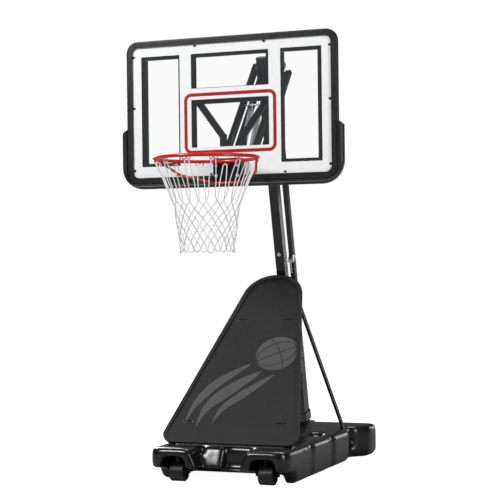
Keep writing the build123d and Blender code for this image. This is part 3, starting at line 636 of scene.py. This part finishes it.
def net_cords():
    """All cords of the net: top loops over the hooks, diamond rows and end loops."""
    rng = random.Random(7)
    rows = net_knots(rng)
    pitch = 360 / HOOKS
    parts = []
    for i in range(HOOKS):
        angle = pitch * i
        left = rows[0][(i - 1) % HOOKS]
        right = rows[0][i]
        swing = rng.uniform(-1.2, 1.2)
        loop = [
            left,
            ring_point(angle - 6.0 + swing, *LEG_SPLIT),
            ring_point(angle - 4.4 + swing * 0.6, 205, 1465),
            ring_point(angle - LOOP_HALF, 238, 1536),
            ring_point(angle - LOOP_HALF * 0.7, 243, 1551),
            ring_point(angle, 244, 1555),
            ring_point(angle + LOOP_HALF * 0.7, 243, 1551),
            ring_point(angle + LOOP_HALF, 238, 1536),
            ring_point(angle + 4.4 + swing * 0.6, 205, 1465),
            ring_point(angle + 6.0 + swing, *LEG_SPLIT),
            right,
        ]
        parts.append(tube(catmull(loop, 5), CORD_R, 7))
    for row in range(len(rows) - 1):
        below = rows[row + 1]
        shift = 1 if row % 2 == 0 else 0
        for i in range(HOOKS):
            a = rows[row][i]
            for b in (below[(i + shift) % HOOKS], below[(i + shift - 1) % HOOKS]):
                parts.append(tube(catmull([a, slack(a, b, rng), b], 5), CORD_R, 7))
    for i in range(HOOKS):
        a = rows[-1][i]
        b = rows[-1][(i + 1) % HOOKS]
        parts.append(tube(catmull(end_loop(a, b, rng), 6), CORD_R, 7))
    for row in rows:
        for centre in row:
            parts.extend(knot(centre, rng))
    return joined(parts)


def end_loop(a, b, rng):
    """U-shaped loop at the bottom of the net, between two knots."""
    angle_a = math.degrees(math.atan2(a.y - RIM_CENTRE.y, a.x))
    angle_b = math.degrees(math.atan2(b.y - RIM_CENTRE.y, b.x))
    if angle_b < angle_a:
        angle_b += 360
    low = NET_END[1] + 5 + rng.uniform(0, 7)
    radius = NET_END[0] - 2
    points = [a]
    for share, height in ((0.16, 32), (0.24, 14), (0.5, 0), (0.76, 14), (0.84, 32)):
        points.append(ring_point(angle_a + (angle_b - angle_a) * share, radius, low + height))
    points.append(b)
    return points


def net():
    """The whole net as one piece."""
    verts, faces = net_cords()
    obj = mesh_object("net_knotted", verts, faces)
    place(obj, "board", MATERIALS["net_cord"])
    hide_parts("net")


HOOK_WIRE_R = 2.2 * MM
HOOK_HALF = [(-17, -7), (-19, -13), (-14, -20), (-6, -17)]
HOOK_OUTLINE = HOOK_HALF + [(0, -7)] + [(-t, z) for t, z in reversed(HOOK_HALF)]


def net_hooks():
    """Ram's-horn wire hooks under the hoop."""
    parts = []
    for i in range(HOOKS):
        angle = math.radians(i * 360 / HOOKS)
        out = Vector((math.cos(angle), math.sin(angle), 0))
        along = Vector((-math.sin(angle), math.cos(angle), 0))
        centre = RIM_CENTRE + out * (RIM_R - 2 * MM)
        line = [centre + along * (t * MM) + Vector((0, 0, z * MM)) for t, z in HOOK_OUTLINE]
        parts.append(tube(catmull(line, 5), HOOK_WIRE_R, 7))
    verts, faces = joined(parts)
    obj = mesh_object("net_hooks_wire", verts, faces)
    place(obj, "board", MATERIALS["rim_paint"])
    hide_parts("net_hooks")


# ---- springs -------------------------------------------------------------------------
SPRING_WIRE_R = 2.1 * MM
COIL_R = 12.7 * MM
COIL_PITCH = 8.0 * MM
SPRING_X = 23 * MM
SPRING_EYE = 30 * MM
SPRING_DROP = 303 * MM
COIL_STEPS = 14


def spring_eye(base, step, side, normal, sign):
    """Line of the wire from the end of the coil round the hooked eye."""
    return [
        base + step * (sign * SPRING_EYE) + side * COIL_R,
        base + step * (sign * (SPRING_EYE - 4 * MM)) + side * (COIL_R * 0.6),
        base + step * (sign * 14 * MM) + side * (2 * MM),
        base + step * (sign * 8 * MM) + normal * (7 * MM),
        base - step * (sign * 7 * MM) + normal * (2 * MM),
        base - step * (sign * 2 * MM) - normal * (7.5 * MM),
        base + step * (sign * 9 * MM) - normal * (5 * MM),
    ]


def balance_springs():
    """Two tension springs with hooked ends."""
    pin_top = Vector((0, JOINTS["arm_lift"]["pos_m"][1], JOINTS["arm_lift"]["pos_m"][2]))
    board = JOINTS["board_level"]["pos_m"]
    down = (Vector((0, board[1], board[2])) - pin_top).normalized()
    start = pin_top + down * SPRING_DROP
    stop = Vector((0, board[1] + 27 * MM, board[2] - 107 * MM))
    step = (stop - start).normalized()
    side = Vector((1, 0, 0))
    normal = step.cross(side)
    length = (stop - start).length
    coiled = length - 2 * SPRING_EYE
    turns = int(coiled / COIL_PITCH)
    count = turns * COIL_STEPS
    parts = []
    for x in (-SPRING_X, SPRING_X):
        line = []
        for k in range(count + 1):
            a = 2 * math.pi * k / COIL_STEPS
            centre = start + side * x + step * (SPRING_EYE + coiled * k / count)
            turn = side * (COIL_R * math.cos(a)) + normal * (COIL_R * math.sin(a))
            line.append(centre + turn)
        parts.append(tube(line, SPRING_WIRE_R, 6))
        for end, sign in ((start, 1), (stop, -1)):
            eye = spring_eye(end + side * x, step, side, normal, sign)
            parts.append(tube(catmull(eye, 5), SPRING_WIRE_R, 7))
    verts, faces = joined(parts)
    obj = mesh_object("balance_springs_coiled", verts, faces)
    place(obj, "upper_arms", MATERIALS["spring_steel"])
    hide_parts("balance_springs")
    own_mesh(obj)


# ---- cover ---------------------------------------------------------------------------
COVER_T = 6 * MM
COVER_FOOT = Vector((0, -368.5 * MM, 172 * MM))
COVER_HEAD = Vector((0, 427.5 * MM, 1005 * MM))
MOTIF_T = 0.8 * MM
BALL_X, BALL_Y, BALL_R = 120 * MM, 590 * MM, 112 * MM
SEAM_TILT = math.radians(28)


def cover_matrix(height):
    """Matrix from a drawing on the cover (x, up the slope) to the part's frame."""
    up = (COVER_HEAD - COVER_FOOT).normalized()
    normal = Vector((1, 0, 0)).cross(up)
    matrix = Matrix((Vector((1, 0, 0)), up, normal)).transposed().to_4x4()
    return Matrix.Translation(COVER_FOOT + normal * height) @ matrix


def circle(cx, cy, radius, steps):
    """Circle as a list of 2D points."""
    points = []
    for k in range(steps):
        a = 2 * math.pi * k / steps
        points.append((cx + radius * math.cos(a), cy + radius * math.sin(a)))
    return points


def swoosh(points, width):
    """Stripe that is thin at its ends and widest two thirds along."""
    line = catmull([(x * MM, y * MM, 0) for x, y in points], 8)
    left = []
    right = []
    count = len(line)
    for i, point in enumerate(line):
        before = line[max(i - 1, 0)]
        after = line[min(i + 1, count - 1)]
        tangent = (after - before).normalized()
        share = i / (count - 1)
        half = width * MM / 2 * (math.sin(math.pi * share ** 1.4) + 0.03)
        left.append((point.x - tangent.y * half, point.y + tangent.x * half))
        right.append((point.x + tangent.y * half, point.y - tangent.x * half))
    return left + right[::-1]


def cover_motif():
    """A plain ball with three streaks behind it, slightly raised."""
    surface = cover_matrix(COVER_T + 0.3 * MM)
    ball = flat_plate("motif_ball", [circle(BALL_X, BALL_Y, BALL_R, 64)], MOTIF_T, surface)
    place(ball, "stand", MOTIF_GREY)
    streaks = [
        ([(-262, 118), (-236, 250), (-150, 392), (0, 520)], 52),
        ([(-196, 104), (-168, 232), (-70, 352), (66, 470)], 66),
        ([(-118, 120), (-84, 226), (14, 330), (140, 452)], 46),
    ]
    for i, (points, width) in enumerate(streaks):
        stripe = flat_plate(f"motif_streak_{i + 1}", [swoosh(points, width)], MOTIF_T, surface)
        place(stripe, "stand", MOTIF_GREY)
    seams()


def seams():
    """Seams of the ball as thin dark lines."""
    parts = []
    along = [k / 12 - 1 for k in range(25)]
    curves = []
    for bow in (-0.62, 0.0, 0.62):
        curves.append([(t, bow * (1 - t * t) ** 0.5) for t in along])
    curves.append([(0.16 * (1 - t * t), t) for t in along])
    surface = cover_matrix(COVER_T + MOTIF_T)
    radius = BALL_R * 0.985
    for curve in curves:
        line = []
        for u, v in curve:
            x = (u * math.cos(SEAM_TILT) - v * math.sin(SEAM_TILT)) * radius
            y = (u * math.sin(SEAM_TILT) + v * math.cos(SEAM_TILT)) * radius
            line.append(surface @ Vector((BALL_X + x, BALL_Y + y, 0)))
        parts.append(tube(line, 1.9 * MM, 6))
    verts, faces = joined(parts)
    obj = mesh_object("motif_seams", verts, faces)
    place(obj, "stand", SEAM_DARK)


# ---- wheels --------------------------------------------------------------------------
RIB_COUNT = 30
RIB_HALF = 33 * MM
RIB_SECTION = [(-2.6, -1.5), (-1.4, 1.2), (1.4, 1.2), (2.6, -1.5)]


def wheel_treads():
    """Cross ribs moulded round each wheel."""
    for body, node in (("wheel_l", "wheel_left"), ("wheel_r", "wheel_right")):
        low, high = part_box(node)
        centre = (low + high) / 2
        radius = (high.z - low.z) / 2
        parts = []
        for i in range(RIB_COUNT):
            a = 2 * math.pi * i / RIB_COUNT
            out = Vector((0, math.cos(a), math.sin(a)))
            along = Vector((0, -math.sin(a), math.cos(a)))
            parts.append(rib(centre, out, along, radius))
        verts, faces = joined(parts)
        obj = mesh_object(node + "_ribs", verts, faces, smooth=False)
        place(obj, body, MATERIALS["wheel_plastic"])


def rib(centre, out, along, radius):
    """One low rib with sloping sides, across a wheel's tread."""
    x = Vector((1, 0, 0))
    verts = []
    for end in (-RIB_HALF, RIB_HALF):
        for width, height in RIB_SECTION:
            foot = centre + x * end + along * (width * MM)
            verts.append(foot + out * (radius + height * MM))
    faces = [(0, 1, 5, 4), (1, 2, 6, 5), (2, 3, 7, 6), (3, 0, 4, 7), (3, 2, 1, 0), (4, 5, 6, 7)]
    return verts, faces


# ---- stage ---------------------------------------------------------------------------
AMBIENT = 0.11
FLOOR_GLOW = 0.97
FLOOR_HALF = 30
CAMERA_PLACE = (2.677, -7.1335, 1.078)
CAMERA_YAW = 21.97
CAMERA_ROLL = -0.70
LENS = 106.9
SHIFT = (0.0506, 0.0228)
# Name, place, what it points at, size and power of each area light.
LIGHTS = [
    ("key", (-3.0, -4.6, 4.9), (0, 0, 1.2), (1.8, 2.4), 330),
    ("fill", (4.6, -2.4, 2.2), (0, 0, 1.0), (1.2, 3.0), 120),
    ("edge", (1.75, 4.5, 0.85), (0.1, 0.2, 1.0), (0.3, 1.5), 9),
    ("rear", (-4.0, 4.5, 3.5), (0, 0.3, 1.0), (2.5, 2.5), 170),
    ("top", (-0.3, 2.6, 5.0), (0, 0.2, 0), (2.4, 1.4), 90),
]


def make_camera():
    """Camera at the photograph's place: right of the board, a little below mid height."""
    yaw = math.radians(CAMERA_YAW)
    roll = math.radians(CAMERA_ROLL)
    look = Vector((-math.sin(yaw), math.cos(yaw), 0))
    level = Vector((math.cos(yaw), math.sin(yaw), 0))
    upright = Vector((0, 0, 1))
    right = level * math.cos(roll) + upright * math.sin(roll)
    up = upright * math.cos(roll) - level * math.sin(roll)
    matrix = Matrix((right, up, -look)).transposed().to_4x4()
    data = bpy.data.cameras.new("camera")
    data.lens = LENS
    data.sensor_width = 36
    data.shift_x, data.shift_y = SHIFT
    data.clip_end = 100
    obj = bpy.data.objects.new("camera", data)
    bpy.context.scene.collection.objects.link(obj)
    obj.matrix_world = Matrix.Translation(CAMERA_PLACE) @ matrix
    bpy.context.scene.camera = obj


def area_light(name, place_at, target, size, power):
    """Rectangular light at a place, turned to a target."""
    data = bpy.data.lights.new(name, "AREA")
    data.shape = "RECTANGLE"
    data.size, data.size_y = size
    data.energy = power
    obj = bpy.data.objects.new(name, data)
    bpy.context.scene.collection.objects.link(obj)
    obj.location = place_at
    aim = (Vector(target) - Vector(place_at)).to_track_quat("-Z", "Y")
    obj.rotation_euler = aim.to_euler()


def make_world():
    """White to the camera, and a dimmer even light on the object."""
    world = bpy.data.worlds.new("studio")
    world.use_nodes = True
    tree = world.node_tree
    background = tree.nodes["Background"]
    background.inputs["Color"].default_value = (1, 1, 1, 1)
    path = tree.nodes.new("ShaderNodeLightPath")
    strength = tree.nodes.new("ShaderNodeMapRange")
    strength.inputs["To Min"].default_value = AMBIENT
    strength.inputs["To Max"].default_value = 1.0
    tree.links.new(path.outputs["Is Camera Ray"], strength.inputs["Value"])
    tree.links.new(strength.outputs["Result"], background.inputs["Strength"])
    bpy.context.scene.world = world


def make_floor():
    """Pale floor just under the tank."""
    size = FLOOR_HALF
    verts = [(-size, -size, 0), (size, -size, 0), (size, size, 0), (-size, size, 0)]
    floor = mesh_object("floor", verts, [(0, 1, 2, 3)], smooth=False)
    floor.location.z = TANK_BOTTOM - 0.5 * MM
    s = Shader("floor_pale", (0.4, 0.4, 0.4), 0.9)
    s.colours(s.noise(1.5, 3), (0.38, 0.38, 0.38), (0.42, 0.42, 0.42))
    path = s.add("ShaderNodeLightPath")
    glow = s.between(path.outputs["Is Camera Ray"], 0.0, FLOOR_GLOW, 0.0, 1.0)
    s.bsdf.inputs["Emission Color"].default_value = (1, 1, 1, 1)
    s.link(glow, s.bsdf.inputs["Emission Strength"])
    floor.data.materials.append(s.material)


def make_stage():
    """White surroundings, pale floor and soft lights."""
    bpy.context.scene.view_settings.view_transform = "Standard"
    make_world()
    make_floor()
    for light in LIGHTS:
        area_light(*light)


make_camera()
make_stage()
finish_cad_nodes()
board_print()
bottom_pad()
net()
net_hooks()
balance_springs()
cover_motif()
wheel_treads()
